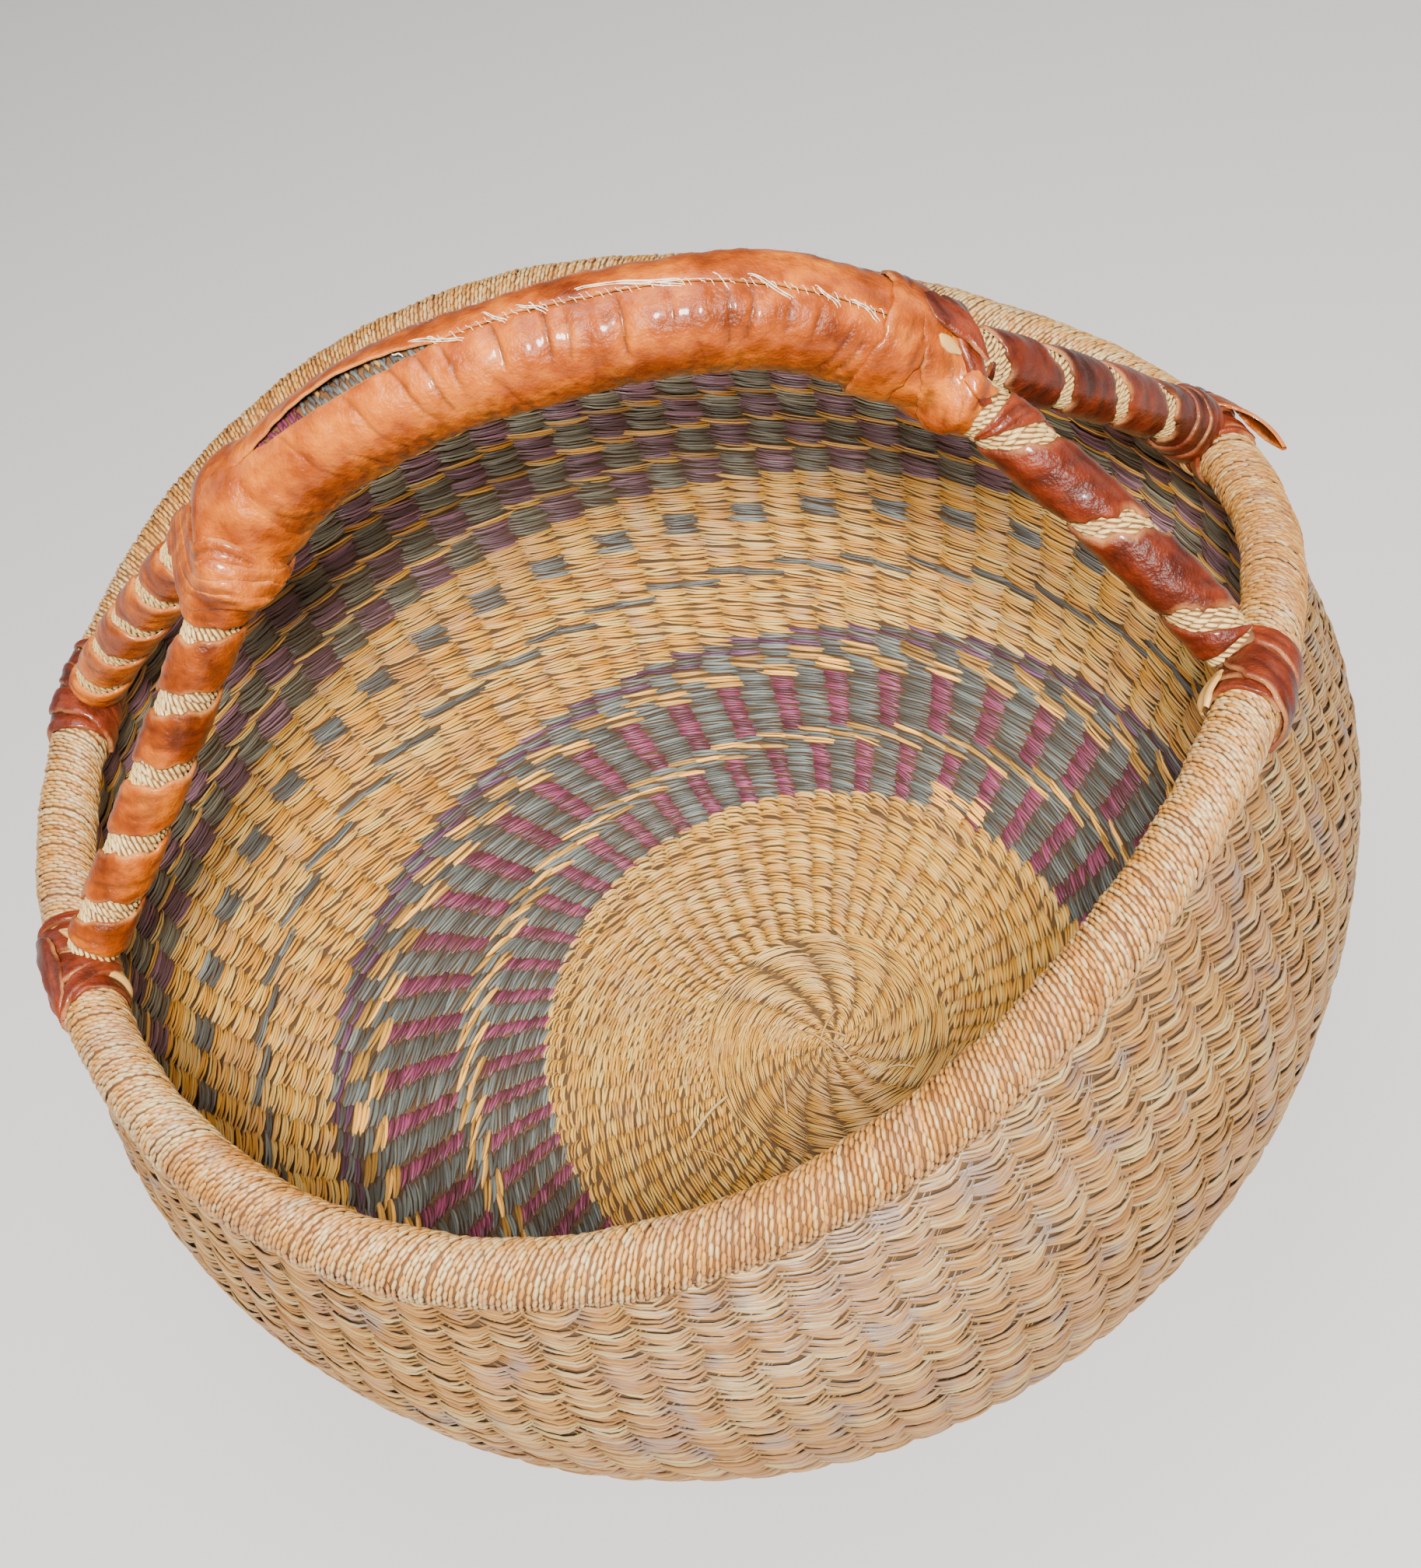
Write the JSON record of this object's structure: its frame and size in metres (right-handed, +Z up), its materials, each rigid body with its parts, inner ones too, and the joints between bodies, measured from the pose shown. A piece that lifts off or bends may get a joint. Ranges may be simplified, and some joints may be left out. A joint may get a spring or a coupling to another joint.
{
  "type": "bolga basket",
  "caption": "Round twined straw market basket with dyed bands, a wrapped rim roll and a forked, leather-covered carrying handle.",
  "frame": {"origin": "bottom centre of the basket's bounding box, on the flat foot", "axes": "+Z up, +X to the handle's right end along the grip, -Y to the front"},
  "size_m": [0.4144, 0.4196, 0.3717],
  "materials": {
    "woven_straw": "dry twined grass, natural gold with dyed blue-grey and purple bands",
    "wrapping_straw": "dry pale straw wound closely, slightly glossy on the crowns",
    "bundle_straw": "loose dyed and natural straw, matt",
    "tan_leather": "oiled and polished goatskin, wrinkled, worn glossy",
    "dark_leather": "dark red-brown goatskin strip, satin"
  },
  "bodies": {
    "root": {"woven_bowl": "woven_straw", "rim_bundle": "bundle_straw", "rim_wrapping": "wrapping_straw", "grip_core": "bundle_straw", "grip_sleeve": "tan_leather", "collar_left": "tan_leather", "collar_right": "tan_leather", "leg_core_left_front": "bundle_straw", "leg_wrapping_left_front": "wrapping_straw", "leg_strip_left_front": "tan_leather", "lashing_left_front": "dark_leather", "leg_core_left_back": "bundle_straw", "leg_wrapping_left_back": "wrapping_straw", "leg_strip_left_back": "tan_leather", "lashing_left_back": "dark_leather", "leg_core_right_front": "bundle_straw", "leg_wrapping_right_front": "wrapping_straw", "leg_strip_right_front": "dark_leather", "lashing_right_front": "dark_leather", "leg_core_right_back": "bundle_straw", "leg_wrapping_right_back": "wrapping_straw", "leg_strip_right_back": "dark_leather", "lashing_right_back": "dark_leather"}
  },
  "joints": []
}
